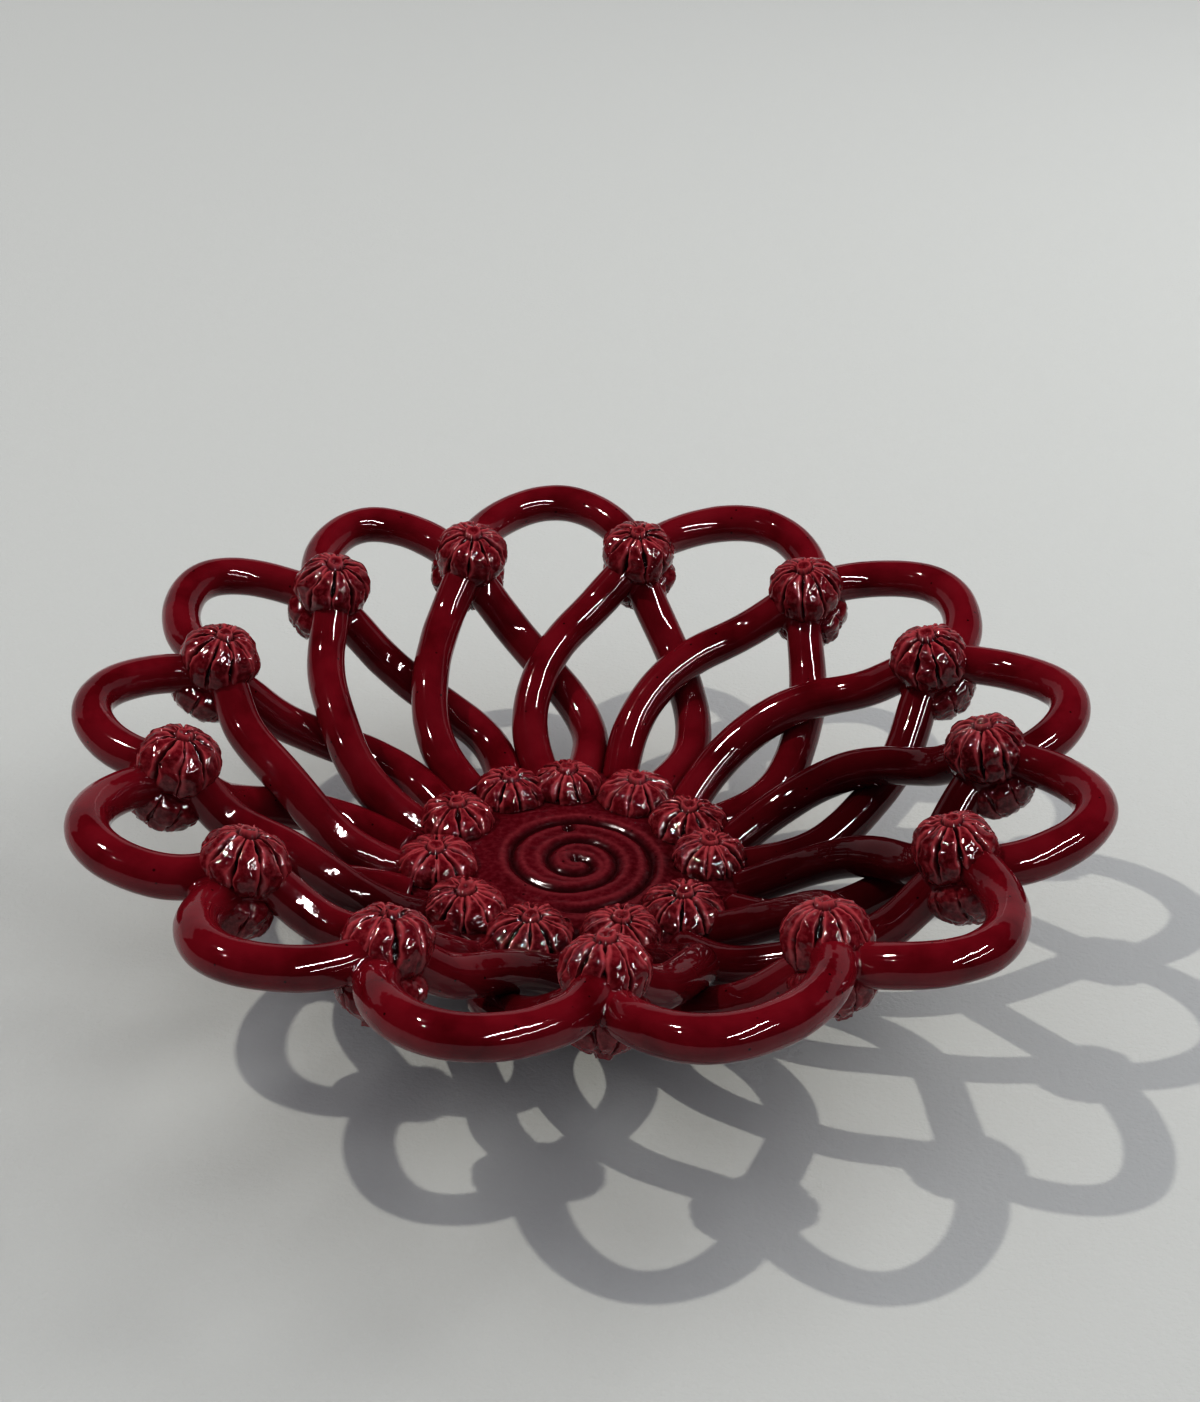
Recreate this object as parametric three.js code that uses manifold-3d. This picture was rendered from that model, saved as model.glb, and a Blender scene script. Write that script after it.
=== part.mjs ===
// Openwork pottery bowl, in millimetres, +Z up, standing on Z = 0.
// Thirteen clay coils are bent into hairpins and woven over and under each other, from a
// petalled rim down to a round floor. Gadrooned rosettes are pressed on where they cross.
import * as THREE from "three";
import { mergeVertices } from "three/addons/utils/BufferGeometryUtils.js";
import Module from "manifold-3d";

const wasm = await Module();
wasm.setup();

// Driving dimensions
const COILS = 13;
const COIL_DIAMETER = 15.6;
const CLEARANCE = 0.3; // left between pieces that touch

const RIM_RADIUS = 153; // to the crossings at the rim, where the rosettes sit
const RIM_HEIGHT = 87;
const RIM_LAP = 7.4; // from the middle of one coil to the other's, pressed together

const TIP_RADIUS = 192; // to the middle of the coil at a petal's tip
const TIP_RISE = 8.5; // from the crossings at the rim up to the petals' tips
const SHOULDER_OUT = 0.37; // the petal's widest place, of the way out from crossing to tip
const SHOULDER_UP = 0.35; // and of the way up
const SHOULDER_SPREAD = 0.84; // of the way round from the tip to the crossing

const CROSS_RADIUS = 118; // to the middle crossings, half way down the wall
const CROSS_HEIGHT = 55.5;

const WALL_OUT = 0.54; // where a leg turns, of the way out from the middle crossing to the rim's
const WALL_UP = 0.4;
const WALL_TURN = 0.47; // of the way round from the rim crossing to the middle crossing

const SWEEP_RADIUS = 89; // where each leg comes to lie beside its neighbour
const SWEEP_HEIGHT = 38.5;
const SWEEP_TURN = 0.3; // of the spacing, past the middle crossing

const COIL_END_TURN = 0.25; // of the spacing, so the ends lie evenly round the floor
const COIL_END_HEIGHT = 28.5;

const FLOOR_SHIFT = -3; // the floor sits this far off the rim's centre, along X
const FLOOR_RADIUS = 66; // the coils end against the floor's edge, all side by side
const FLOOR_HEIGHT = 33; // the floor's upper face
const FLOOR_THICKNESS = 9;

const SPIRAL_PITCH = 14.3;
const SPIRAL_START_RADIUS = 5;
const SPIRAL_START_ANGLE = 110; // degrees
const SPIRAL_TURNS = 2;
const SPIRAL_WIDTH = 7.4;
const SPIRAL_RISE = 1.4;

const FOOT_RADIUS = 52;
const FOOT_WALL = 9;
const FOOT_TAPER = 2; // narrower at the bottom by this much

const UPPER_ROSETTE_DIAMETER = 29;
const UPPER_ROSETTE_RISE = 19.3; // from the crossing's middle to the crown
const UPPER_ROSETTE_LEAN = 13; // degrees, the crown towards the bowl's axis
const UPPER_ROSETTE_SKIRT = 6; // how far it reaches down round both coils
const LOWER_ROSETTE_DIAMETER = 30;
const LOWER_ROSETTE_RISE = 22;
const LOWER_ROSETTE_LEAN = 31; // degrees, the crown away from the bowl's axis
const ROSETTE_SEAT = 5; // how far each rosette is pressed down round its coil

const FLOOR_ROSETTES = 11;
const FLOOR_ROSETTE_RING = 53.5;
const FLOOR_ROSETTE_RISE = 9.5;
const FLOOR_ROSETTE_START = 125.5; // degrees

const GADROONS = 10; // the swellings round a rosette
const GROOVE_DEPTH = 1.6;
const GROOVE_END = 0.5; // of the rosette's radius, inside which its grooves have run out
const CROWN_DIAMETER = 5.5; // the flat on top of a rosette
const DOME_SIDE_WIDTH = 0.94; // of the rosette's diameter, part way up its side
const DOME_SIDE_HEIGHT = 0.42; // of its height
const DOME_SHOULDER_WIDTH = 0.72; // where the side turns in to the crown
const DOME_SHOULDER_HEIGHT = 0.78;
const SKIRT_WIDTH = 0.8; // of the diameter, at the bottom of a skirt

// The bowl is hand made, so each place is a little off its even spacing. The crossings, petals
// and rosettes are counted clockwise, as seen from above, from the first at FIRST_CROSSING.
const FIRST_CROSSING = 108.7; // degrees
const CROSSING_TURN = [1, 1, -0.5, -1, -0.5, 0, 0.5, -1.5, -1.5, 1, 0.5, -1.5, -1.5]; // degrees
const CROSSING_LIFT = [0.5, 0, 0, 0, 0, 0, -2, -1, -2, 1, 0, 0, 1.5];
const MIDDLE_TURN = [0.5, 1, 1.5, 2.5, -2.5, 3.5, 1, -2.5, 6, -5, -2, 1, 1]; // degrees
const TIP_TURN = [-2, -0.5, 1, -3, 0, -4, -6.5, -2, 0, 2, 3, -3.5, -1]; // degrees
const TIP_REACH = [2, 0, 0, -2, 0, 0, 1, 3, 0, -1, -6, 0, 0];
const FADE = 0.6; // how much of a lift or a reach is left at the next place along a coil
const FLOOR_ROSETTE_TURN = [-6, 1, 2, 4, 9, 1, 1.5, -2.5, -2, -3.5, -7]; // degrees
const FLOOR_ROSETTE_DIAMETER = [27, 27, 29, 30, 28, 31, 30, 31, 31, 30, 29];

// How finely the round shapes are cut
const COIL_SIDES = 10;
const COIL_STEPS = 34;
const DISC_SIDES = 36;
const SPIRAL_STEPS = 32;

const radians = THREE.MathUtils.degToRad;
const between = THREE.MathUtils.lerp;

const SPACING = (2 * Math.PI) / COILS;
const TIP_HEIGHT = RIM_HEIGHT + TIP_RISE;
const SHOULDER_RADIUS = between(RIM_RADIUS, TIP_RADIUS, SHOULDER_OUT);
const SHOULDER_HEIGHT = between(RIM_HEIGHT, TIP_HEIGHT, SHOULDER_UP);
const WALL_RADIUS = between(CROSS_RADIUS, RIM_RADIUS, WALL_OUT);
const WALL_HEIGHT = between(CROSS_HEIGHT, RIM_HEIGHT, WALL_UP);

const COIL_COLOR = "#5a0a12";
const ROSETTE_COLOR = "#7a1820"; // the glaze is thinner on the ridges
const FLOOR_COLOR = "#661018";

const glaze = (color) => new THREE.MeshStandardMaterial({ color, roughness: 0.12, metalness: 0 });

// A cubic spline whose bends are as even as a rolled coil's
class ClayCurve extends THREE.Curve {
  constructor(points) {
    super();
    this.points = points;
    this.knots = [0];
    for (let i = 1; i < points.length; i++) {
      this.knots.push(this.knots[i - 1] + points[i].distanceTo(points[i - 1]));
    }
    this.bends = ["x", "y", "z"].map((axis) => this.solveBends(axis));
  }

  // The second derivative along one axis at each point, none at either end
  solveBends(axis) {
    const { points, knots } = this;
    const last = points.length - 1;
    const ratio = [0];
    const value = [0];
    for (let i = 1; i < last; i++) {
      const before = knots[i] - knots[i - 1];
      const after = knots[i + 1] - knots[i];
      const slopeIn = (points[i][axis] - points[i - 1][axis]) / before;
      const slopeOut = (points[i + 1][axis] - points[i][axis]) / after;
      const pivot = 2 * (before + after) - before * ratio[i - 1];
      ratio.push(after / pivot);
      value.push((6 * (slopeOut - slopeIn) - before * value[i - 1]) / pivot);
    }
    const bends = new Array(last + 1).fill(0);
    for (let i = last - 1; i > 0; i--) {
      bends[i] = value[i] - ratio[i] * bends[i + 1];
    }
    return bends;
  }

  getPoint(t, target = new THREE.Vector3()) {
    const { points, knots, bends } = this;
    const place = t * knots[knots.length - 1];
    let i = 1;
    while (i < knots.length - 1 && knots[i] < place) i++;
    const span = knots[i] - knots[i - 1];
    const b = (place - knots[i - 1]) / span;
    const a = 1 - b;
    const blend = (axis, bend) =>
      a * points[i - 1][axis] + b * points[i][axis] +
      ((a ** 3 - a) * bend[i - 1] + (b ** 3 - b) * bend[i]) * (span ** 2 / 6);
    return target.set(blend("x", bends[0]), blend("y", bends[1]), blend("z", bends[2]));
  }
}

function solidOf(geometry) {
  const bare = geometry.clone();
  bare.deleteAttribute("normal");
  bare.deleteAttribute("uv");
  const merged = mergeVertices(bare, 1e-4);
  const corners = [];
  for (let i = 0; i < merged.index.count; i += 3) {
    const [a, b, c] = merged.index.array.slice(i, i + 3);
    if (a !== b && b !== c && c !== a) corners.push(a, b, c); // a lathe's poles have flat ones
  }
  const mesh = new wasm.Mesh({
    numProp: 3,
    vertProperties: new Float32Array(merged.attributes.position.array),
    triVerts: new Uint32Array(corners),
  });
  return new wasm.Manifold(mesh);
}

function geometryOf(solid) {
  const mesh = solid.getMesh();
  const geometry = new THREE.BufferGeometry();
  geometry.setAttribute("position", new THREE.BufferAttribute(mesh.vertProperties, 3));
  geometry.setIndex(new THREE.BufferAttribute(mesh.triVerts, 1));
  geometry.computeVertexNormals();
  return geometry;
}

// Each corner of the profile is its distance from the axis and its height
const lathe = (profile, sides) =>
  new THREE.LatheGeometry(profile.map(([x, y]) => new THREE.Vector2(x, y)), sides);

const wrap = (k) => ((k % COILS) + COILS) % COILS;
const polar = (radius, angle, height, shift = 0) =>
  new THREE.Vector3(radius * Math.cos(angle) + shift, radius * Math.sin(angle), height);

// Angles run on past a full turn, so that a coil near the last crossing is measured as any other
const crossingAngle = (k) => radians(FIRST_CROSSING + CROSSING_TURN[wrap(k)]) - k * SPACING;
const middleAngle = (k) =>
  (crossingAngle(k) + crossingAngle(k + 1)) / 2 + radians(MIDDLE_TURN[wrap(k)]);
const evenMiddleAngle = (k) => radians(FIRST_CROSSING) - (k + 0.5) * SPACING;
const tipAngle = (k) => (crossingAngle(k) + crossingAngle(k + 1)) / 2 + radians(TIP_TURN[wrap(k)]);
const crossingPoint = (k) =>
  polar(RIM_RADIUS, crossingAngle(k), RIM_HEIGHT + CROSSING_LIFT[wrap(k)]);

// The middle line of one leg, from the petal's shoulder to the floor. The leg on the
// anticlockwise side (side 1) lies over its neighbours, the other (side -1) under them.
function legPoints(k, side) {
  const crossing = side > 0 ? k : k + 1;
  const middle = side > 0 ? k - 1 : k + 1;
  const reach = TIP_REACH[wrap(k)];
  const lift = CROSSING_LIFT[wrap(crossing)];
  const rimAngle = crossingAngle(crossing);
  const midAngle = middleAngle(middle);
  const rimLap = (side * RIM_LAP) / 2;
  const midLap = (side * (COIL_DIAMETER + 2 * CLEARANCE)) / 2;
  const shoulderAngle = between(tipAngle(k), rimAngle, SHOULDER_SPREAD);
  const wallAngle = between(rimAngle, midAngle, WALL_TURN);
  const evenAngle = evenMiddleAngle(middle);
  const sweepAngle = (midAngle + evenAngle) / 2 + side * SWEEP_TURN * SPACING;
  const endAngle = evenAngle + side * COIL_END_TURN * SPACING;
  return [
    polar(SHOULDER_RADIUS + FADE * reach, shoulderAngle, SHOULDER_HEIGHT + rimLap / 2),
    polar(RIM_RADIUS, rimAngle, RIM_HEIGHT + lift + rimLap),
    polar(WALL_RADIUS, wallAngle, WALL_HEIGHT + FADE * lift + (rimLap + midLap) / 2),
    polar(CROSS_RADIUS, midAngle, CROSS_HEIGHT + midLap),
    polar(SWEEP_RADIUS, sweepAngle, SWEEP_HEIGHT + midLap / 2, FLOOR_SHIFT / 2),
    polar(FLOOR_RADIUS, endAngle, COIL_END_HEIGHT, FLOOR_SHIFT),
  ];
}

function coilCurve(k) {
  const tip = polar(TIP_RADIUS + TIP_REACH[wrap(k)], tipAngle(k), TIP_HEIGHT);
  return new ClayCurve([...legPoints(k, -1).reverse(), tip, ...legPoints(k, 1)]);
}

function coilTube(k, diameter) {
  const section = new THREE.Shape();
  for (let i = 0; i < COIL_SIDES; i++) {
    const angle = (2 * Math.PI * (i + 0.5)) / COIL_SIDES;
    const x = (diameter / 2) * Math.cos(angle);
    const y = (diameter / 2) * Math.sin(angle);
    if (i === 0) section.moveTo(x, y);
    else section.lineTo(x, y);
  }
  section.closePath();
  return new THREE.ExtrudeGeometry(section, {
    steps: COIL_STEPS,
    bevelEnabled: false,
    extrudePath: coilCurve(k),
  });
}

// A melon-shaped boss on Z = 0: a lathed dome with a flat crown, and a groove between each two
// gadroons. The spread makes it that much bigger all over, and a skirt reaches down below Z = 0.
function rosetteGeometry(diameter, rise, spread = 0, skirt = 0) {
  const radius = diameter / 2 + spread;
  const crown = rise + spread;
  const underside = skirt > 0 ? [[0, -skirt], [radius * SKIRT_WIDTH, -skirt]] : [[0, 0]];
  const profile = [
    ...underside,
    [radius, 0],
    [radius * DOME_SIDE_WIDTH, crown * DOME_SIDE_HEIGHT],
    [radius * DOME_SHOULDER_WIDTH, crown * DOME_SHOULDER_HEIGHT],
    [CROWN_DIAMETER / 2, crown],
    [0, crown],
  ];
  const dome = lathe(profile, 2 * GADROONS);
  const place = dome.attributes.position;
  const point = new THREE.Vector3();
  for (let i = 0; i < place.count; i++) {
    point.fromBufferAttribute(place, i);
    const along = (Math.atan2(point.x, point.z) * GADROONS) / Math.PI;
    const inGroove = Math.round(along) % 2 !== 0;
    const out = Math.hypot(point.x, point.z);
    if (!inGroove || out < radius * GROOVE_END) continue;
    const drawnIn = 1 - GROOVE_DEPTH / out;
    place.setXYZ(i, point.x * drawnIn, point.y, point.z * drawnIn);
  }
  return dome.rotateX(Math.PI / 2);
}

// A round plate of the floor's radius. Its height runs between the two levels.
function floorPlate(spread, bottom, top) {
  const radius = FLOOR_RADIUS + spread;
  const plate = new THREE.CylinderGeometry(radius, radius, top - bottom, DISC_SIDES);
  plate.rotateX(Math.PI / 2);
  plate.translate(0, 0, (top + bottom) / 2);
  return plate;
}

// The spiral stands proud of the floor and winds outwards clockwise, as seen from above. The
// section's first axis points down, and its foot is let into the floor.
function spiralGeometry(spread) {
  const points = [];
  for (let i = 0; i <= SPIRAL_STEPS; i++) {
    const turns = (SPIRAL_TURNS * i) / SPIRAL_STEPS;
    const angle = radians(SPIRAL_START_ANGLE) - 2 * Math.PI * turns;
    points.push(polar(SPIRAL_START_RADIUS + SPIRAL_PITCH * turns, angle, 0));
  }
  const half = SPIRAL_WIDTH / 2 + spread;
  const crest = -SPIRAL_RISE - spread;
  const section = new THREE.Shape([
    new THREE.Vector2(SPIRAL_RISE, -half),
    new THREE.Vector2(SPIRAL_RISE, half),
    new THREE.Vector2(crest, half - SPIRAL_RISE),
    new THREE.Vector2(crest, SPIRAL_RISE - half),
  ]);
  return new THREE.ExtrudeGeometry(section, {
    steps: SPIRAL_STEPS,
    bevelEnabled: false,
    extrudePath: new ClayCurve(points),
  });
}

const plateSolid = (spread) => {
  const bottom = FLOOR_HEIGHT - FLOOR_THICKNESS - spread;
  return solidOf(floorPlate(spread, bottom, FLOOR_HEIGHT + spread)).translate([FLOOR_SHIFT, 0, 0]);
};
const spiralSolid = (spread) =>
  solidOf(spiralGeometry(spread)).translate([FLOOR_SHIFT, 0, FLOOR_HEIGHT]);

function footGeometry() {
  const height = FLOOR_HEIGHT - FLOOR_THICKNESS - CLEARANCE;
  const outer = FOOT_RADIUS - FOOT_TAPER;
  const inner = FOOT_RADIUS - FOOT_WALL;
  const profile = [
    [inner, 0],
    [outer, 0],
    [FOOT_RADIUS, height],
    [inner, height],
    [inner, 0],
  ];
  return lathe(profile, DISC_SIDES).rotateX(Math.PI / 2);
}

const bowl = new THREE.Group();
const numbered = (name, k) => `${name}_${String(k + 1).padStart(2, "0")}`;

// Adds a piece whose solid is in the bowl's frame, as a mesh placed and turned by pose
function addPiece(name, solid, color, pose = new THREE.Object3D()) {
  pose.updateMatrix();
  const geometry = geometryOf(solid).applyMatrix4(pose.matrix.clone().invert());
  const mesh = new THREE.Mesh(geometry, glaze(color));
  mesh.name = name;
  mesh.position.copy(pose.position);
  mesh.quaternion.copy(pose.quaternion);
  bowl.add(mesh);
}

const inPose = (solid, pose) => {
  pose.updateMatrix();
  return solid.transform(pose.matrix.elements);
};

const coilSolids = [];
const coilRooms = []; // each coil with its clearance round it
for (let k = 0; k < COILS; k++) {
  coilSolids.push(solidOf(coilTube(k, COIL_DIAMETER)));
  coilRooms.push(solidOf(coilTube(k, COIL_DIAMETER + 2 * CLEARANCE)));
}
const allCoilRoom = wasm.Manifold.union(coilRooms);
const plateRoom = plateSolid(CLEARANCE);
const spiralRoom = spiralSolid(CLEARANCE);

// The under leg of each coil is pressed in where the next coils' over legs lie on it
function addCoils() {
  const crossed = 3; // how many of the next coils each one passes under
  for (let k = 0; k < COILS; k++) {
    let coil = coilSolids[k];
    for (let step = 1; step <= crossed; step++) {
      coil = coil.subtract(coilRooms[wrap(k + step)]);
    }
    addPiece(numbered("petal_coil", k), coil.subtract(plateRoom), COIL_COLOR);
  }
}

// Rosettes on one side of the rim's crossings, 1 above and -1 below, each pressed onto the coil
// on its own side
function addRimRosettes(name, side, diameter, rise, lean, skirt) {
  const base = (RIM_LAP + COIL_DIAMETER) / 2 - ROSETTE_SEAT;
  const dome = solidOf(rosetteGeometry(diameter, rise - base, 0, skirt));
  for (let k = 0; k < COILS; k++) {
    const inwards = -side * Math.sin(radians(lean));
    const out = polar(inwards, crossingAngle(k), side * Math.cos(radians(lean)));
    const pose = new THREE.Object3D();
    pose.position.copy(crossingPoint(k)).addScaledVector(out, base);
    pose.quaternion.setFromUnitVectors(new THREE.Vector3(0, 0, 1), out);
    const rosette = inPose(dome, pose).subtract(allCoilRoom);
    addPiece(numbered(name, k), rosette, ROSETTE_COLOR, pose);
  }
}

// Each floor rosette is pressed on against those already laid
function addFloorRosettes() {
  const laid = [];
  const spacing = (2 * Math.PI) / FLOOR_ROSETTES;
  for (let i = 0; i < FLOOR_ROSETTES; i++) {
    const angle = radians(FLOOR_ROSETTE_START + FLOOR_ROSETTE_TURN[i]) - i * spacing;
    const pose = new THREE.Object3D();
    pose.position.copy(polar(FLOOR_ROSETTE_RING, angle, FLOOR_HEIGHT + CLEARANCE, FLOOR_SHIFT));
    pose.rotation.z = angle;
    const diameter = FLOOR_ROSETTE_DIAMETER[i];
    let rosette = inPose(solidOf(rosetteGeometry(diameter, FLOOR_ROSETTE_RISE)), pose);
    rosette = rosette.subtract(spiralRoom).subtract(allCoilRoom);
    for (const other of laid) rosette = rosette.subtract(other);
    laid.push(inPose(solidOf(rosetteGeometry(diameter, FLOOR_ROSETTE_RISE, CLEARANCE)), pose));
    addPiece(numbered("floor_rosette", i), rosette, ROSETTE_COLOR, pose);
  }
}

addCoils();
addRimRosettes(
  "rim_rosette_upper",
  1,
  UPPER_ROSETTE_DIAMETER,
  UPPER_ROSETTE_RISE,
  UPPER_ROSETTE_LEAN,
  UPPER_ROSETTE_SKIRT,
);
addRimRosettes(
  "rim_rosette_lower",
  -1,
  LOWER_ROSETTE_DIAMETER,
  LOWER_ROSETTE_RISE,
  LOWER_ROSETTE_LEAN,
  0,
);
addFloorRosettes();

const floorPose = new THREE.Object3D();
floorPose.position.set(FLOOR_SHIFT, 0, 0);
addPiece("floor_disc", plateSolid(0).add(spiralSolid(0)), FLOOR_COLOR, floorPose);
addPiece("foot_ring", solidOf(footGeometry()).translate([FLOOR_SHIFT, 0, 0]), COIL_COLOR, floorPose);

export default bowl;
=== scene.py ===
"""Openwork pottery bowl: thirteen glazed clay coils woven into a petalled rim and wall,
gadrooned rosettes where they cross, and a round floor with a spiral in relief.

Lengths in the constants and in the shaping functions are in millimetres. The shaped pieces are
brought to metres when they are finished."""

import math

import bmesh
import bpy
from bpy.props import FloatProperty, FloatVectorProperty, IntProperty, PointerProperty
from mathutils import Matrix, Vector, noise
from mathutils.kdtree import KDTree


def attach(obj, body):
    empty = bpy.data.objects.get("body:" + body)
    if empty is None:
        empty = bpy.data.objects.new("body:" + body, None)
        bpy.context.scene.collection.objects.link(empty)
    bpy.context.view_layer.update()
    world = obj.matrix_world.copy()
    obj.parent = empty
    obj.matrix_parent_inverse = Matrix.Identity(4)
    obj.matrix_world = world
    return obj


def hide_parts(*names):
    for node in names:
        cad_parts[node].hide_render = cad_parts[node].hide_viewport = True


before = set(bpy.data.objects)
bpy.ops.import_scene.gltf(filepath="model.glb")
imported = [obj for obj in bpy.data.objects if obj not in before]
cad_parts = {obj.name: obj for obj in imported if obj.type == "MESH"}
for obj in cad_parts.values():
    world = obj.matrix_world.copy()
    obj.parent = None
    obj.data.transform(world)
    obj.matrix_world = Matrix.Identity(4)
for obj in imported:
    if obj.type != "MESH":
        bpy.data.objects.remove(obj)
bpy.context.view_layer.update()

bl_info = {
    "name": "Openwork Pottery Bowl",
    "version": (1, 0, 0),
    "blender": (4, 5, 0),
    "location": "View3D > Sidebar > Bowl",
    "description": "Models a glazed openwork bowl of woven clay coils and rosettes",
    "category": "Add Mesh",
}

MM = 0.001

# Points of a new mesh that are closer than this are one
MERGE_DISTANCE = 1e-4

# The middle lines of the coils, as the part's solids have them
COILS = 13
SPACING = 2 * math.pi / COILS
CLEARANCE = 0.3
RIM_RADIUS, RIM_HEIGHT, RIM_LAP = 153, 87, 7.4
TIP_RADIUS, TIP_HEIGHT = 192, 95.5
SHOULDER_OUT, SHOULDER_UP, SHOULDER_SPREAD = 0.37, 0.35, 0.84
CROSS_RADIUS, CROSS_HEIGHT = 118, 55.5
WALL_OUT, WALL_UP, WALL_TURN = 0.54, 0.4, 0.47
SWEEP_RADIUS, SWEEP_HEIGHT, SWEEP_TURN = 89, 38.5, 0.3
COIL_END_TURN, COIL_END_HEIGHT = 0.25, 28.5
FLOOR_SHIFT, FLOOR_HEIGHT, FLOOR_THICKNESS = -3, 33, 9
COIL_STEPS = 220

# Each place given one by one, a little off its even spacing, clockwise from the first crossing
FIRST_CROSSING = 108.7
CROSSING_TURN = [1, 1, -0.5, -1, -0.5, 0, 0.5, -1.5, -1.5, 1, 0.5, -1.5, -1.5]
CROSSING_LIFT = [0.5, 0, 0, 0, 0, 0, -2, -1, -2, 1, 0, 0, 1.5]
MIDDLE_TURN = [0.5, 1, 1.5, 2.5, -2.5, 3.5, 1, -2.5, 6, -5, -2, 1, 1]
TIP_TURN = [-2, -0.5, 1, -3, 0, -4, -6.5, -2, 0, 2, 3, -3.5, -1]
TIP_REACH = [2, 0, 0, -2, 0, 0, 1, 3, 0, -1, -6, 0, 0]
# How much of a crossing's lift or a petal's reach its neighbours along the coil take on
FADE = 0.6

FLOOR_ROSETTE_RING = 53.5
FLOOR_ROSETTE_START = 125.5
FLOOR_ROSETTE_TURN = [-6, 1, 2, 4, 9, 1, 1.5, -2.5, -2, -3.5, -7]
FLOOR_ROSETTE_DIAMETER = [27, 27, 29, 30, 28, 31, 30, 31, 31, 30, 29]

# How a rosette is pressed on: how deep it sits, how far its skirt goes down and how far that
# draws in
ROSETTE_SEAT = 5
UPPER_SKIRT, LOWER_SKIRT, RIM_TUCK = 9, 4, 3.5
FLOOR_SKIRT, FLOOR_TUCK = 0.4, 0.5

# The dome under a rosette's relief. The powers just under 1 make it a little fuller than an
# ellipse, and its skirt draws in along most of a quarter of one.
DOME_STEPS, SKIRT_STEPS = 28, 6
DOME_OUT_POWER, DOME_UP_POWER = 0.92, 0.96
SKIRT_BEND = 0.98

# A rosette's relief. Its grooves are uneven and wander, with a raised lip on either side. Its lobes
# swell between them, and its button stands in a moat. Glaze has filled much of it under the rim.
LOBE_COLUMNS, COLUMN_CROWDING = 18, 1.5
GROOVE_HALF_WIDTH, GROOVE_UNEVENNESS = 0.75, 0.35
GROOVE_WANDER, WANDER_SIZE = 0.75, 4.5
LIP_PLACE, LIP_WIDTH, LIP_RISE = 0.3, 0.42, 0.3
LOBE_SWELL, LOBE_FULLNESS = 1.1, 2.2
BUTTON_RISE, BUTTON_WALL_START, BUTTON_WALL_END = 1.0, -0.2, 0.3
BUTTON_EDGE_INSET, BUTTON_EDGE_RISE, BUTTON_EDGE_WIDTH = 0.5, 0.5, 0.45
MOAT_OUTSET, MOAT_DEPTH, MOAT_WIDTH = 0.6, 1.2, 0.5
LOWER_CRISPNESS = 0.35

# A groove begins just outside the button, with a share of its width and depth. It widens with the
# lobes beside it, and deepens from the edge of the crown, at a share of the radius.
HEAD_START, HEAD_END = 0.4, 1.3
HEAD_WIDTH, WIDENING_SPAN = 0.35, 4
HEAD_DEPTH, CROWN_EDGE = 0.6, 0.3

# The dark glaze keeps to the bottom of a groove, the more the higher this power is
POOL_SHARPNESS = 1.5

# The hand-made unevenness of each surface, as sizes and heights. A coil's heights are shares of
# its waver. The seeds give each piece its own.
COIL_WAVER = [(34, 1.6), (13, 0.7)]
ROSETTE_WAVER = [(9, 1.2), (3.4, 0.6), (1.7, 0.36)]
FLOOR_WAVER = [(14, 0.5), (4, 0.2)]
FOOT_WAVER = [(30, 0.3), (7, 0.1)]
LOWER_SEED, FLOOR_ROSETTE_SEED, FLOOR_SEED, FOOT_SEED = 20, 50, 90, 95

# Where each piece, lobe and groove reads the noise, so that no two are alike
SEED_STEP = (137.3, 71.9, 31.1)
LOBE_STEP, LOBE_SEED_STEP, LOBE_ROW = 3.1, 9.7, 0.5
GROOVE_STEP, GROOVE_SEED_STEP, GROOVE_ROW = 2.3, 5.1, 7.5

# How far each next rosette is turned about its own axis, in radians
RIM_ROSETTE_SPIN, FLOOR_ROSETTE_SPIN = 0.9, 1.3

# The floor's spiral groove: radii and angles in degrees up to where its even winding begins, and
# where that ends. The knob and the hole are the ends of the clay that curl round each other.
GROOVE_START = [(1.2, 60), (5, 0), (9.4, -40), (9.7, -100), (9.8, -160), (10.6, -210), (13.5, -265)]
GROOVE_END_ANGLE = -830
SPIRAL_STEPS, STEPS_PER_TURN, SPIRAL_FADE_START = 500, 12, 0.92
GROOVE_WIDTH, GROOVE_POOLING = 3.4, 0.9
CREST_REACH, CREST_WIDTH, CREST_SHARE = 3.9, 1.2, 0.12
MOUND_START, MOUND_END, MOUND_SHARE = 35, 41, 0.5
KNOB_PLACE, KNOB_RADIUS, KNOB_RISE = Vector((-3.9, 2.2)), 2.6, 1.1
HOLE_PLACE, HOLE_RADIUS, HOLE_DEPTH = Vector((1.3, 1.4)), 1.6, 1.8
PIT_PLACE, PIT_RADIUS, PIT_DEPTH, PIT_STEEPNESS = Vector((-2.1, 23.2)), 2.4, 4, 4
FLOOR_RINGS, FLOOR_SEGMENTS, FLOOR_EDGE = 130, 200, 1.0

# The foot ring. Each pair of its waist is a share of its height and how far its outer side draws in
# there. Its inner side swells half way up. It is wiped clean to just over its rounded edge.
FOOT_SEGMENTS, FOOT_EDGE = 128, 0.8
FOOT_WAIST, FOOT_SWELL = ((0.35, 0.4), (0.7, 0.3)), 0.3
WIPED_HEIGHT = FOOT_EDGE + 0.1

# The luting slip at a rim crossing: how far along the coils it is worked, and its lump
SLIP_REACH = 24
SLIP_LUMP = (12.5, 12.5, 11)
SLIP_COIL_INSET, SLIP_COIL_SIDES = 0.2, 20
SLIP_GRAIN = 1
SLIP_SMOOTHING = 7

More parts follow.
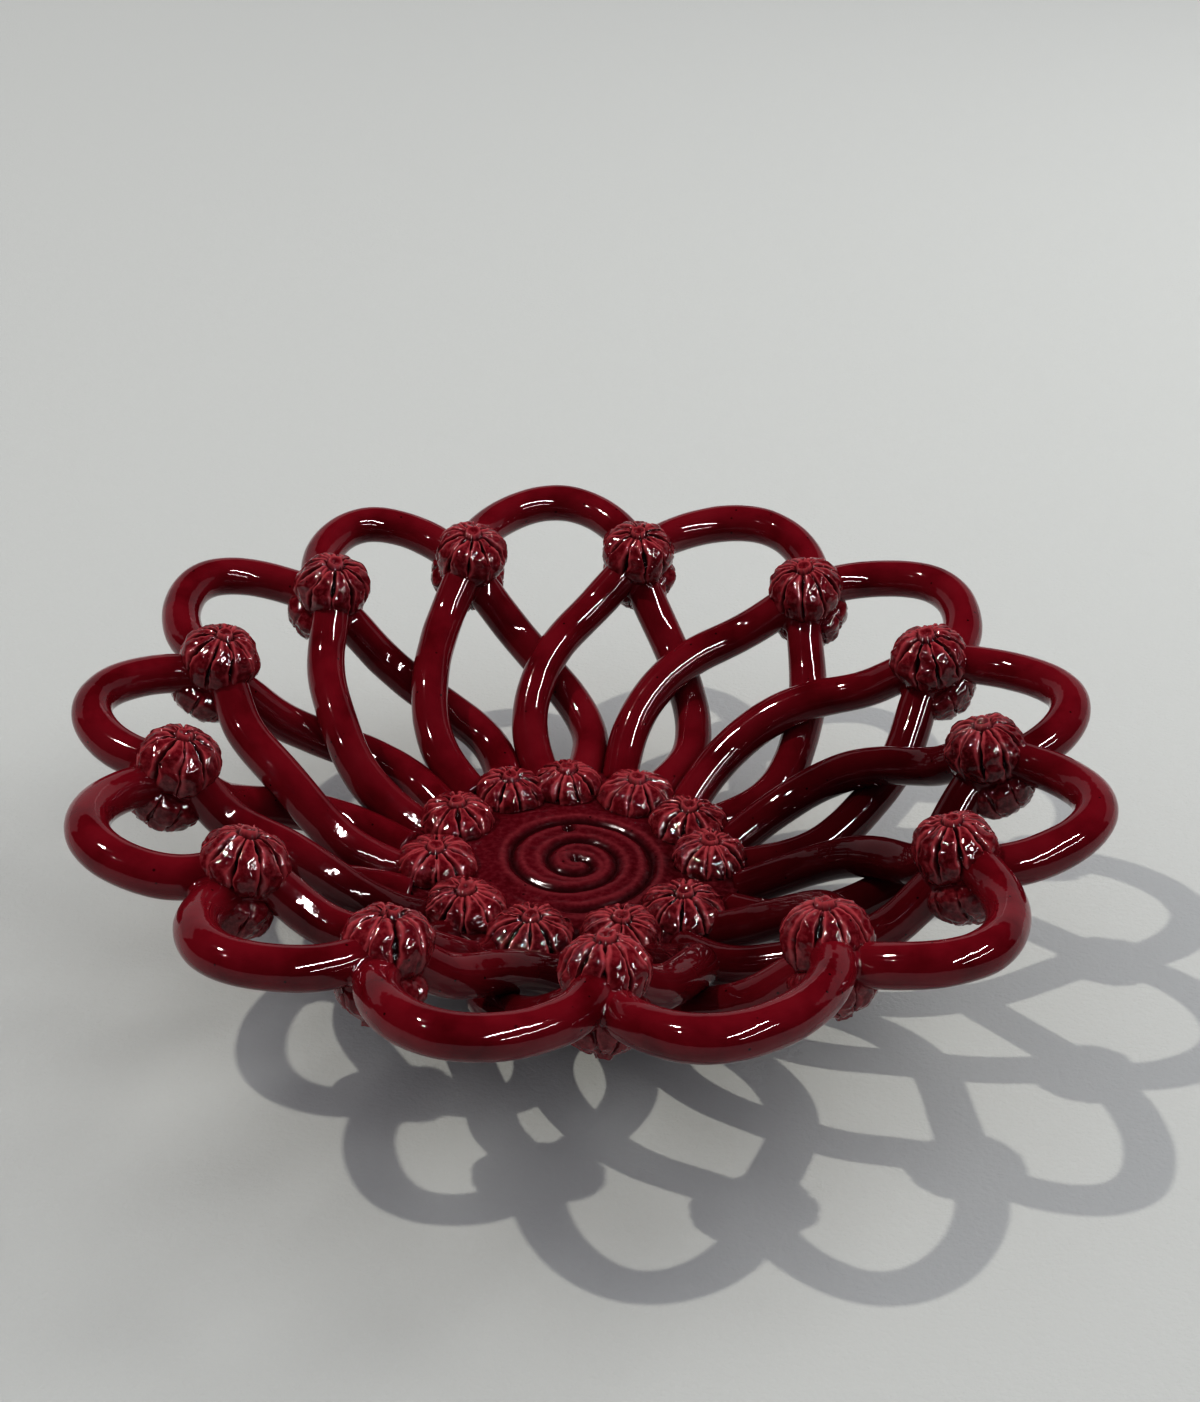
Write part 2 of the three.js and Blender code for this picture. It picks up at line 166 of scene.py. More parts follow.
# The glaze's patterns: a size in millimetres, then where in the pattern's range each colour stands
CLOUD_SIZE, CLOUD_DARK, CLOUD_EVEN, CLOUD_THIN = 22, 0.3, 0.52, 0.72
SPOT_SIZE, SPOT_START, SPOT_FULL = 2.4, 0.42, 0.68
PINHOLE_SPACING, PINHOLE_CORE, PINHOLE_EDGE = 7, 0.05, 0.09
CLOUD_POOLING, CUT_POOLING, PINHOLE_POOLING = 0.35, 0.96, 0.8

# A ripple in the glaze is this many times as wide as it is high
RIPPLE_FLATNESS = 15

# The clay's grog and the studio floor's stipple: grain and height in millimetres. Real ones are
# finer, and are drawn this coarse so that they show.
GROG_SIZE, GROG_HEIGHT = 1.5, 0.3
STIPPLE_SIZE, STIPPLE_HEIGHT = 2.2, 0.5

# The glaze is darkened towards its dark colour round three places: low in the wall on the right,
# and at the front and on the front left as painted shade, where the bowl shades its own inside.
# Each place and how far the darkening reaches from it, in metres. It is at its darkest over the
# first part of that reach.
DARKENED_GLAZE_PLACES = (
    ((0.105, -0.02, 0.055), 0.1),
    ((0.01, -0.1, 0.04), 0.078),
    ((-0.075, -0.06, 0.03), 0.05),
)
DARKENING_CORE, DARKENING_STRENGTH = 0.35, 0.7

# How the glaze lies on each kind of piece. Thinning and pooling are how much the whole piece shows
# of the paler thin glaze and of the dark pooled one. Relief is how far it thins on edges and in
# spots. Ripple is the width of the waves in its surface in millimetres, and wetness their strength.
# The coat is how strong and how blurred its reflections are.
WET_COAT = (1, 0.055)
COIL_GLAZE = {
    "thinning": 0.1,
    "pooling": 0,
    "relief": None,
    "ripple": 6,
    "wetness": 0.35,
    "coat": WET_COAT,
}
ROSETTE_GLAZE = {
    "thinning": 0.05,
    "pooling": 0.15,
    "relief": (0.7, 0.3),
    "ripple": 3,
    "wetness": 0.8,
    "coat": WET_COAT,
}
FLOOR_GLAZE = {
    "thinning": 0,
    "pooling": 0.45,
    "relief": (0.14, 0.1),
    "ripple": 8,
    "wetness": 0.35,
    "coat": (0.5, 0.2),
}

# The camera, solved from the outline of the petals: lens and sensor in millimetres, place in
# metres and turns in radians
CAMERA_LENS, CAMERA_SENSOR = 60.65, 36
CAMERA_PLACE = (-0.0011, -0.7686, 0.5507)
CAMERA_YAW, CAMERA_PITCH, CAMERA_ROLL = 0.0085, 0.525, 0.035

# The studio floor in metres, a hair under the foot so that their faces don't flicker
STUDIO_FLOOR_HALF, STUDIO_FLOOR_DROP = 6, 0.0002

# The studio, in metres. Each lamp has its two ends, its width, its power in watts, its colour and
# the rays that it is hidden from. The key lamp lights the bowl and casts its shadow. The sparks,
# strips and panels only show in the glaze, as round glints, as lines along the coils and as a soft
# veil on their far sides. The soft lamp and the fill are the other way about. The fill grows
# brighter from the horizon up.
CONTRAST = "High Contrast"
EXPOSURE = -0.5
LOW_FILL, HIGH_FILL, HIGH_FILL_PLACE = (0.29, 0.29, 0.325), (0.85, 0.845, 0.91), 0.9
WHITE = (1, 1, 1)
LAMPS = (
    ("Key Lamp", (-4.80, 0.30, 7.65), (-4.65, 0.30, 7.71), 0.15, 350, (1, 0.97, 0.88), ()),
    ("Spark Lamp", (-1.60, 0.10, 2.55), (-1.57, 0.10, 2.57), 0.04, 34, WHITE, ("diffuse",)),
    ("Low Spark Lamp", (-1.66, -1.02, 2.20), (-1.63, -1.02, 2.22), 0.04, 18, WHITE, ("diffuse",)),
    ("Strip Lamp", (0.48, -1.48, 1.22), (1.18, -0.12, 1.60), 0.03, 34, WHITE, ("diffuse",)),
    ("Low Strip Lamp", (0.86, -1.64, 0.76), (1.58, -0.48, 1.14), 0.03, 9, WHITE, ("diffuse",)),
    ("Soft Lamp", (1.1, 1.3, 1.5), (2.0, 0.4, 1.5), 1.0, 25, WHITE, ("glossy",)),
    ("Left Panel", (-3.2, 1.3, 0.75), (0.3, 3.4, 0.75), 1.5, 8, WHITE, ("diffuse",)),
    ("Right Panel", (0.3, 3.4, 0.75), (3.4, 0.8, 0.75), 1.5, 8, WHITE, ("diffuse",)),
)


def linear(hex_colour):
    """An sRGB hex colour as linear red, green and blue."""
    channels = [int(hex_colour[i : i + 2], 16) / 255 for i in (1, 3, 5)]
    return [c / 12.92 if c <= 0.04045 else ((c + 0.055) / 1.055) ** 2.4 for c in channels]


def grey(value):
    """A linear grey."""
    return (value, value, value)


def pattern_scale(size):
    """The scale of a pattern whose clouds or cells are that many millimetres across."""
    return 1 / (size * MM)


def add_node(tree, kind, settings=None, inputs=None, stops=()):
    """Adds a node with its settings, and its inputs, named or counted, as values or sockets. The
    stops of a colour ramp are each a position and a linear colour."""
    node = tree.nodes.new(kind)
    for name, value in (settings or {}).items():
        setattr(node, name, value)
    for name, value in (inputs or {}).items():
        socket = node.inputs[name]
        if isinstance(value, bpy.types.NodeSocket):
            tree.links.new(value, socket)
        else:
            socket.default_value = value
    if stops:
        elements = node.color_ramp.elements
        while len(elements) < len(stops):
            elements.new(1)
        for element, (position, colour) in zip(elements, stops):
            element.position = position
            element.color = (*colour, 1)
    return node


def new_material(name):
    """An empty material with its node tree and its place in the bowl's own frame."""
    material = bpy.data.materials.new(name)
    material.use_nodes = True
    tree = material.node_tree
    tree.nodes.clear()
    return material, tree, add_node(tree, "ShaderNodeTexCoord").outputs["Object"]


def surfaced(material, tree, inputs):
    """Ends a material with its one shader."""
    shader = add_node(tree, "ShaderNodeBsdfPrincipled", {}, inputs).outputs["BSDF"]
    add_node(tree, "ShaderNodeOutputMaterial", {}, {"Surface": shader})
    return material


# Sizes and colours that a user would change


class CoilSettings(bpy.types.PropertyGroup):
    diameter: FloatProperty(
        name="Coil Diameter",
        description="Thickness of each rolled clay coil",
        default=15.6 * MM,
        unit="LENGTH",
    )
    waver: FloatProperty(
        name="Waver",
        description="How far hand rolling leaves a coil's surface off its true round",
        default=0.28 * MM,
        unit="LENGTH",
    )
    sides: IntProperty(
        name="Sides", description="Sides of the coil's section", default=28, min=8
    )


class RosetteSettings(bpy.types.PropertyGroup):
    upper_diameter: FloatProperty(
        name="Upper Diameter",
        description="Width of the rosettes on top of the rim",
        default=29 * MM,
        unit="LENGTH",
    )
    upper_rise: FloatProperty(
        name="Upper Rise",
        description="From the crossing's middle to the upper rosette's crown",
        default=19.3 * MM,
        unit="LENGTH",
    )
    upper_lean: FloatProperty(
        name="Upper Lean",
        description="How far the upper rosettes' crowns lean into the bowl",
        default=math.radians(13),
        subtype="ANGLE",
    )
    lower_diameter: FloatProperty(
        name="Lower Diameter",
        description="Width of the rosettes under the rim",
        default=30 * MM,
        unit="LENGTH",
    )
    lower_rise: FloatProperty(
        name="Lower Rise",
        description="From the crossing's middle to the lower rosette's crown",
        default=22 * MM,
        unit="LENGTH",
    )
    lower_lean: FloatProperty(
        name="Lower Lean",
        description="How far the lower rosettes' crowns lean out of the bowl",
        default=math.radians(31),
        subtype="ANGLE",
    )
    floor_rise: FloatProperty(
        name="Floor Rise",
        description="Height of the rosettes that ring the floor",
        default=9.5 * MM,
        unit="LENGTH",
    )
    gadroons: IntProperty(
        name="Gadroons", description="Swellings round each rosette", default=10, min=5
    )
    groove_depth: FloatProperty(
        name="Groove Depth",
        description="Depth of the cut between each two gadroons",
        default=1.7 * MM,
        unit="LENGTH",
    )
    button_diameter: FloatProperty(
        name="Button Diameter",
        description="Width of the button on each crown",
        default=6.6 * MM,
        unit="LENGTH",
    )


class FloorSettings(bpy.types.PropertyGroup):
    radius: FloatProperty(
        name="Floor Radius",
        description="Radius of the round floor",
        default=66 * MM,
        unit="LENGTH",
    )
    spiral_pitch: FloatProperty(
        name="Spiral Pitch",
        description="From one turn of the spiral to the next",
        default=13.7 * MM,
        unit="LENGTH",
    )
    spiral_rise: FloatProperty(
        name="Spiral Rise",
        description="Height of the band over the groove beside it",
        default=1.4 * MM,
        unit="LENGTH",
    )


class FootSettings(bpy.types.PropertyGroup):
    radius: FloatProperty(
        name="Foot Radius",
        description="Outer radius of the foot ring where it meets the floor",
        default=52 * MM,
        unit="LENGTH",
    )
    wall: FloatProperty(
        name="Foot Wall", description="Thickness of the foot ring", default=9 * MM, unit="LENGTH"
    )
    taper: FloatProperty(
        name="Foot Taper",
        description="How much narrower the foot ring is where it stands",
        default=2 * MM,
        unit="LENGTH",
    )


def mixed_colour(a, b, part):
    """The linear colour that lies that part of the way from a to b."""
    return [x + (y - x) * part for x, y in zip(a, b)]


def colour_property(name, description, hex_colour):
    """A colour that the panel offers, its default given in sRGB hex."""
    return FloatVectorProperty(
        name=name,
        description=description,
        subtype="COLOR",
        size=3,
        min=0,
        max=1,
        default=linear(hex_colour),
    )


class GlazeSettings(bpy.types.PropertyGroup):
    body: colour_property("Body", "The glaze where it lies even", "#6e1124")
    # This dark colour is also laid on as painted shade at the front and on the front left of the
    # bowl, and darkens the glaze low in the wall on the right.
    pooled_and_shade: colour_property("Pooled", "The glaze where it has run together", "#230408")
    thin: colour_property("Thin", "The glaze where it has drawn off an edge", "#bd666c")


# The lines that the coils follow, in millimetres


def between(a, b, part):
    """The value that lies that part of the way from a to b."""
    return a + (b - a) * part


def polar(radius, angle, height, shift=0):
    return Vector((radius * math.cos(angle) + shift, radius * math.sin(angle), height))


def crossing_angle(k):
    return math.radians(FIRST_CROSSING + CROSSING_TURN[k % COILS]) - k * SPACING


def middle_angle(k):
    even = (crossing_angle(k) + crossing_angle(k + 1)) / 2
    return even + math.radians(MIDDLE_TURN[k % COILS])


def tip_angle(k):
    return (crossing_angle(k) + crossing_angle(k + 1)) / 2 + math.radians(TIP_TURN[k % COILS])


def crossing_point(k):
    return polar(RIM_RADIUS, crossing_angle(k), RIM_HEIGHT + CROSSING_LIFT[k % COILS])


def leg_points(k, side, diameter):
    """One leg of a coil, from the petal's shoulder to the floor. The leg on the anticlockwise
    side (side 1) lies over its neighbours, the other (side -1) under them."""
    crossing = k if side > 0 else k + 1
    middle = k - side
    reach = TIP_REACH[k % COILS]
    lift = CROSSING_LIFT[crossing % COILS]
    rim_angle = crossing_angle(crossing)
    mid_angle = middle_angle(middle)
    even_angle = math.radians(FIRST_CROSSING) - (middle + 0.5) * SPACING
    rim_lap = side * RIM_LAP / 2
    mid_lap = side * (diameter + 2 * CLEARANCE) / 2
    shoulder_radius = between(RIM_RADIUS, TIP_RADIUS, SHOULDER_OUT)
    shoulder_height = between(RIM_HEIGHT, TIP_HEIGHT, SHOULDER_UP)
    shoulder_angle = between(tip_angle(k), rim_angle, SHOULDER_SPREAD)
    wall_radius = between(CROSS_RADIUS, RIM_RADIUS, WALL_OUT)
    wall_height = between(CROSS_HEIGHT, RIM_HEIGHT, WALL_UP) + FADE * lift
    wall_angle = between(rim_angle, mid_angle, WALL_TURN)
    sweep_angle = (mid_angle + even_angle) / 2 + side * SWEEP_TURN * SPACING
    end_angle = even_angle + side * COIL_END_TURN * SPACING
    floor_radius = bpy.context.scene.bowl_floor.radius / MM
    return [
        polar(shoulder_radius + FADE * reach, shoulder_angle, shoulder_height + rim_lap / 2),
        polar(RIM_RADIUS, rim_angle, RIM_HEIGHT + lift + rim_lap),
        polar(wall_radius, wall_angle, wall_height + (rim_lap + mid_lap) / 2),
        polar(CROSS_RADIUS, mid_angle, CROSS_HEIGHT + mid_lap),
        polar(SWEEP_RADIUS, sweep_angle, SWEEP_HEIGHT + mid_lap / 2, FLOOR_SHIFT / 2),
        polar(floor_radius, end_angle, COIL_END_HEIGHT, FLOOR_SHIFT),
    ]


def even_spline(points, count):
    """Points along a natural cubic spline, whose bends are as even as a rolled coil's."""
    knots = [0]
    for before, after in zip(points, points[1:]):
        knots.append(knots[-1] + (after - before).length)
    last = len(points) - 1
    ratio, value = [0], [Vector()]
    for i in range(1, last):
        before = knots[i] - knots[i - 1]
        after = knots[i + 1] - knots[i]
        slope_in = (points[i] - points[i - 1]) / before
        slope_out = (points[i + 1] - points[i]) / after
        pivot = 2 * (before + after) - before * ratio[i - 1]
        ratio.append(after / pivot)
        value.append((6 * (slope_out - slope_in) - before * value[i - 1]) / pivot)
    bends = [Vector() for _ in points]
    for i in range(last - 1, 0, -1):
        bends[i] = value[i] - ratio[i] * bends[i + 1]
    line = []
    i = 1
    for step in range(count + 1):
        place = knots[-1] * step / count
        while i < last and knots[i] < place:
            i += 1
        span = knots[i] - knots[i - 1]
        b = (place - knots[i - 1]) / span
        a = 1 - b
        bend = ((a**3 - a) * bends[i - 1] + (b**3 - b) * bends[i]) * (span**2 / 6)
        line.append(a * points[i - 1] + b * points[i] + bend)
    return line


def coil_line(k):
    diameter = bpy.context.scene.bowl_coils.diameter / MM
    tip = polar(TIP_RADIUS + TIP_REACH[k % COILS], tip_angle(k), TIP_HEIGHT)
    under = leg_points(k, -1, diameter)
    return even_spline([*reversed(under), tip, *leg_points(k, 1, diameter)], COIL_STEPS)


# Shaping the clay


def rolled_coil(line, diameter, sides):
    """A closed round tube along the line, as a new mesh in the line's own units."""
    curve = bpy.data.curves.new("Rolled Coil", "CURVE")
    curve.dimensions = "3D"
    curve.bevel_depth = diameter / 2
    # A round bevel has four sides, and two more for each step of its resolution
    curve.bevel_resolution = sides // 2 - 2
    curve.use_fill_caps = True
    spline = curve.splines.new("POLY")
    spline.points.add(len(line) - 1)
    for point, place in zip(spline.points, line):
        point.co = (*place, 1)
    holder = bpy.data.objects.new("Rolled Coil", curve)
    bpy.context.scene.collection.objects.link(holder)
    bpy.context.view_layer.update()
    evaluated = holder.evaluated_get(bpy.context.evaluated_depsgraph_get())
    mesh = bpy.data.meshes.new_from_object(evaluated)
    bpy.data.objects.remove(holder)
    bpy.data.curves.remove(curve)
    return mesh


def waver(bm, seed, octaves):
    """Moves the surface in and out by soft noise. Each octave is a size and a height."""
    bm.normal_update()
    apart = Vector([step * seed for step in SEED_STEP])
    moves = []
    for vert in bm.verts:
        place = vert.co + apart
        move = sum(height * noise.noise(place / size) for size, height in octaves)
        moves.append(vert.normal * move)
    for vert, move in zip(bm.verts, moves):
        vert.co += move


def thrown_ring(bm, profile, segments):
    """Turns a profile of (radius, height) pairs about Z into a closed surface."""
    verts = [bm.verts.new((radius, 0, height)) for radius, height in profile]
    edges = [bm.edges.new(pair) for pair in zip(verts, verts[1:])]
    bmesh.ops.spin(
        bm,
        geom=verts + edges,
        cent=(0, 0, 0),
        axis=(0, 0, 1),
        angle=2 * math.pi,
        steps=segments,
        use_merge=True,
    )
    bmesh.ops.remove_doubles(bm, verts=bm.verts, dist=MERGE_DISTANCE)
    bmesh.ops.recalc_face_normals(bm, faces=bm.faces)


def bell(value, middle, width):
    """1 at the middle, and falling off smoothly to either side."""
    return math.exp(-(((value - middle) / width) ** 2))


def smooth_step(low, high, value):
    part = min(max((value - low) / (high - low), 0), 1)
    return part * part * (3 - 2 * part)


def add_to(bm, other, pose):
    """Moves another shape's mesh into bm, from the bowl's frame into the frame of that pose."""
    bmesh.ops.transform(other, matrix=pose.inverted(), verts=other.verts)
    for face in other.faces:
        face.material_index = 1
    mesh = bpy.data.meshes.new("Added")
    other.to_mesh(mesh)
    other.free()
    bm.from_mesh(mesh)
    bpy.data.meshes.remove(mesh)


def finish_piece(name, bm, material, node, pose=Matrix()):
    """Brings a shaped piece to metres and to its place, and puts it on the bowl instead of the
    CAD solid of that node."""
    bmesh.ops.transform(bm, matrix=Matrix.Scale(MM, 4) @ pose, verts=bm.verts)
    for face in bm.faces:
        face.smooth = True
    mesh = bpy.data.meshes.new(name)
    bm.to_mesh(mesh)
    bm.free()
    mesh.materials.append(material)
    piece = bpy.data.objects.new(name, mesh)
    bpy.context.scene.collection.objects.link(piece)
    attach(piece, "root")
    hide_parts(node)
    return piece


def luting_slip(k, diameter):
    """The wet clay that was worked into the corners of a rim crossing, in millimetres: short
    lengths of its two coils, fused and smoothed until only the corners are filled."""
    middle = crossing_point(k)
    bm = bmesh.new()
    for line in (coil_line(k), coil_line(k - 1)):
        near = [place for place in line if (place - middle).length < SLIP_REACH]
        mesh = rolled_coil(near, diameter - SLIP_COIL_INSET, SLIP_COIL_SIDES)
        bm.from_mesh(mesh)
        bpy.data.meshes.remove(mesh)
    lump = Matrix.Translation(middle) @ Matrix.Diagonal((*SLIP_LUMP, 1))
    bmesh.ops.create_icosphere(bm, subdivisions=3, radius=1, matrix=lump)
    joined = bpy.data.meshes.new("Luting Slip")
    bm.to_mesh(joined)
    bm.free()
    holder = bpy.data.objects.new("Luting Slip", joined)
    bpy.context.scene.collection.objects.link(holder)
    fused = holder.modifiers.new("Fuse", "REMESH")
    fused.mode = "VOXEL"
    fused.voxel_size = SLIP_GRAIN
    bpy.context.view_layer.update()
    evaluated = holder.evaluated_get(bpy.context.evaluated_depsgraph_get())
    mesh = bpy.data.meshes.new_from_object(evaluated)
    bpy.data.objects.remove(holder)
    bpy.data.meshes.remove(joined)
    bm = bmesh.new()
    bm.from_mesh(mesh)
    bpy.data.meshes.remove(mesh)
    for _ in range(SLIP_SMOOTHING):
        bmesh.ops.smooth_vert(
            bm, verts=bm.verts, factor=0.5, use_axis_x=True, use_axis_y=True, use_axis_z=True
        )
    return bm


def spiral_groove(pitch):
    """The middle line of the groove in the floor, from the hole at its centre outwards."""
    places = list(GROOVE_START)
    radius, angle = places[-1]
    while angle > GROOVE_END_ANGLE:
        radius += pitch / STEPS_PER_TURN
        angle -= 360 / STEPS_PER_TURN
        places.append((radius, angle))
    points = [polar(radius, math.radians(angle), 0) for radius, angle in places]
    return even_spline(points, SPIRAL_STEPS)


def rosette_profile(diameter, height, undercut, tuck):
    """From the middle of the crown, over the swelling side, in under the skirt and back to the
    axis, as (radius, height) pairs. The undercut is how far the skirt goes below zero."""
    radius = diameter / 2
    profile = []
    for i in range(DOME_STEPS + 1):
        angle = math.pi / 2 * (1 - i / DOME_STEPS)
        out = radius * math.cos(angle) ** DOME_OUT_POWER
        profile.append((out, height * math.sin(angle) ** DOME_UP_POWER))
    for i in range(1, SKIRT_STEPS + 1):
        part = i / SKIRT_STEPS
        out = radius - tuck * (1 - math.sqrt(1 - part**2 * SKIRT_BEND))
        profile.append((out, -undercut * part))
    profile.append((0, -undercut))
    return profile


def rosette(diameter, height, undercut, tuck, seed, crispness=1):
    """A gadrooned boss about Z, its skirt at height zero, in millimetres. The "ridge" and "cut"
    attributes say where its edges stand out and where its grooves lie. The crispness is how far
    the glaze has left its relief open."""
    settings = bpy.context.scene.bowl_rosettes
    gadroons = settings.gadroons
    depth = settings.groove_depth / MM * crispness
    button = settings.button_diameter / MM / 2
    radius = diameter / 2
    bm = bmesh.new()
    thrown_ring(bm, rosette_profile(diameter, height, undercut, tuck), gadroons * LOBE_COLUMNS)
    ridge = bm.verts.layers.float.new("ridge")
    cut = bm.verts.layers.float.new("cut")
    for vert in bm.verts:
        out = math.hypot(vert.co.x, vert.co.y)
        # The two poles have no lobe
        if out < MERGE_DISTANCE:
            continue
        along = math.atan2(vert.co.y, vert.co.x) * gadroons / (2 * math.pi)
        lobe = math.floor(along)
        # The columns of faces are drawn together towards the grooves
        side = 2 * (along - lobe) - 1
        share = 1 - (1 - abs(side)) ** COLUMN_CROWDING
        lobe_place = lobe * LOBE_STEP + seed * LOBE_SEED_STEP
        on_lobe = Vector((lobe_place, LOBE_ROW, vert.co.z / WANDER_SIZE))
        wander = GROOVE_WANDER * noise.noise(on_lobe)
        turned = lobe + 0.5 + math.copysign(share, side) / 2 + wander * (1 - share)
        turn = turned * 2 * math.pi / gadroons
        half_lobe = math.pi * out / gadroons
        from_groove = (1 - share) * half_lobe
        groove_place = round(along) * GROOVE_STEP + seed * GROOVE_SEED_STEP
        on_groove = Vector((groove_place, GROOVE_ROW, 0))
        uneven = 1 + GROOVE_UNEVENNESS * noise.noise(on_groove)
        below = smooth_step(0, undercut, -vert.co.z)
        start = smooth_step(button + HEAD_START, button + HEAD_END, out)
        fade = start * (1 - below)
        drop = smooth_step(CROWN_EDGE, 1, out / radius)
        # A groove narrows towards the crown, where the lobes are slim
        widening = min(1, HEAD_WIDTH + half_lobe / WIDENING_SPAN)
        wide = GROOVE_HALF_WIDTH * uneven * widening
        opened = (1 - smooth_step(0, wide, from_groove)) * fade
        lip = bell(from_groove, wide + LIP_PLACE, LIP_WIDTH) * fade
        swell = (1 - share**LOBE_FULLNESS) * fade * drop
        sunk = depth * opened * between(HEAD_DEPTH, 1, drop)
        outwards = LIP_RISE * lip + LOBE_SWELL * swell - sunk
        facing = Vector((math.cos(turn), math.sin(turn), 0)) * (out / radius)
        facing.z = max(vert.co.z, 0) / height
        facing.normalize()
        rise = vert.co.z
        # The button stands in a moat, and its edge is raised
        if rise > 0:
            edge = bell(out, button - BUTTON_EDGE_INSET, BUTTON_EDGE_WIDTH)
            moat = bell(out, button + MOAT_OUTSET, MOAT_WIDTH)
            wall = smooth_step(button + BUTTON_WALL_START, button + BUTTON_WALL_END, out)
            on_button = 1 - wall
            rise += BUTTON_EDGE_RISE * edge + BUTTON_RISE * on_button - MOAT_DEPTH * moat
            opened = max(opened, moat)
            lip = max(lip, edge)
        vert.co = Vector((out * math.cos(turn), out * math.sin(turn), rise)) + facing * outwards
        vert[cut] = opened**POOL_SHARPNESS * crispness
        vert[ridge] = lip * crispness
    waver(bm, seed, ROSETTE_WAVER)
    return bm


# Materials


def glaze_colour(tree, place, thinning, pooling, relief):
    """Slow clouds in the body of the glaze, with the darkened places (painted shade at the front
    and on the front left, and darker low in the wall on the right), the thin glaze on the relief,
    the dark glaze that pools in its grooves and the pinholes laid over them in turn."""
    glaze = bpy.context.scene.bowl_glaze
    pooled_and_shade, thin = list(glaze.pooled_and_shade), list(glaze.thin)
    body = mixed_colour(glaze.body, pooled_and_shade, pooling)
    clouds = add_node(
        tree,
        "ShaderNodeTexNoise",
        {},
        {"Vector": place, "Scale": pattern_scale(CLOUD_SIZE), "Detail": 4, "Roughness": 0.55},
    )
    cloudy = add_node(
        tree,
        "ShaderNodeValToRGB",
        {},
        {"Fac": clouds.outputs["Fac"]},
        [
            (CLOUD_DARK, mixed_colour(body, pooled_and_shade, CLOUD_POOLING)),
            (CLOUD_EVEN, mixed_colour(body, thin, thinning / 2)),
            (CLOUD_THIN, mixed_colour(body, thin, thinning)),
        ],
    )
    layers = []
    # Painted shade at the front and on the front left, and darker low in the wall on the right:
    # near each place the glaze turns to the dark colour.
    for middle, reach in DARKENED_GLAZE_PLACES:
        away = add_node(
            tree, "ShaderNodeVectorMath", {"operation": "DISTANCE"}, {0: place, 1: middle}
        )
        run = add_node(
            tree,
            "ShaderNodeValToRGB",
            {},
            {"Fac": away.outputs["Value"]},
            [(reach * DARKENING_CORE, grey(DARKENING_STRENGTH)), (reach, grey(0))],
        )
        layers.append((pooled_and_shade, run.outputs["Color"]))
    if relief:
        edges, spots = relief
        mottle = add_node(
            tree,
            "ShaderNodeTexNoise",
            {},
            {"Vector": place, "Scale": pattern_scale(SPOT_SIZE), "Detail": 3, "Roughness": 0.6},
        )
        spotted = add_node(
            tree,
            "ShaderNodeValToRGB",
            {},
            {"Fac": mottle.outputs["Fac"]},
            [(SPOT_START, grey(0)), (SPOT_FULL, grey(spots))],
        )
        layers.append((thin, spotted.outputs["Color"]))
        for name, laid, strength in (("ridge", thin, edges), ("cut", pooled_and_shade, CUT_POOLING)):
            shown = add_node(tree, "ShaderNodeAttribute", {"attribute_name": name})
            scaled = add_node(
                tree,
                "ShaderNodeMath",
                {"operation": "MULTIPLY", "use_clamp": True},
                {0: shown.outputs["Fac"], 1: strength},
            )
            layers.append((laid, scaled.outputs["Value"]))
    pinholes = add_node(
        tree,
        "ShaderNodeTexVoronoi",
        {},
        {"Vector": place, "Scale": pattern_scale(PINHOLE_SPACING)},
    )
    speck = add_node(
        tree,
        "ShaderNodeValToRGB",
        {},
        {"Fac": pinholes.outputs["Distance"]},
        [(PINHOLE_CORE, grey(PINHOLE_POOLING)), (PINHOLE_EDGE, grey(0))],
    )
    layers.append((pooled_and_shade, speck.outputs["Color"]))
    colour = cloudy.outputs["Color"]
    for laid, amount in layers:
        mixed = add_node(
            tree,
            "ShaderNodeMix",
            {"data_type": "RGBA"},
            {"Factor": amount, 6: colour, 7: (*laid, 1)},
        )
        colour = mixed.outputs[2]
    return colour


def glazed_earthenware(name, thinning, pooling, relief, ripple, wetness, coat):
    """Oxblood glaze over fired earthenware: a deep wine red with a wet shine, whose reflections
    waver with the ripples in it. Where it has thinned on edges and in spots it turns a dusty pink,
    and where it pools in grooves it is nearly black. It is darker in slow clouds, darkened low in
    the wall on the right, and darkened as painted shade at the front and on the front left."""
    material, tree, place = new_material(name)
    waves = add_node(
        tree,
        "ShaderNodeTexNoise",
        {},
        {"Vector": place, "Scale": pattern_scale(ripple), "Detail": 2, "Roughness": 0.5},
    )
    rippled = add_node(
        tree,
        "ShaderNodeBump",
        {},
        {
            "Height": waves.outputs["Fac"],
            "Strength": wetness,
            "Distance": ripple / RIPPLE_FLATNESS * MM,
        },
    )
    coat_weight, coat_roughness = coat
    return surfaced(
        material,
        tree,
        {
            "Base Color": glaze_colour(tree, place, thinning, pooling, relief),
            "Roughness": 0.5,
            "Specular IOR Level": 0.0,
            "Normal": rippled.outputs["Normal"],
            "Coat Weight": coat_weight,
            "Coat Roughness": coat_roughness,
            "Coat IOR": 1.52,
            "Coat Tint": (*linear("#f3dada"), 1),
            "Coat Normal": rippled.outputs["Normal"],
        },
    )


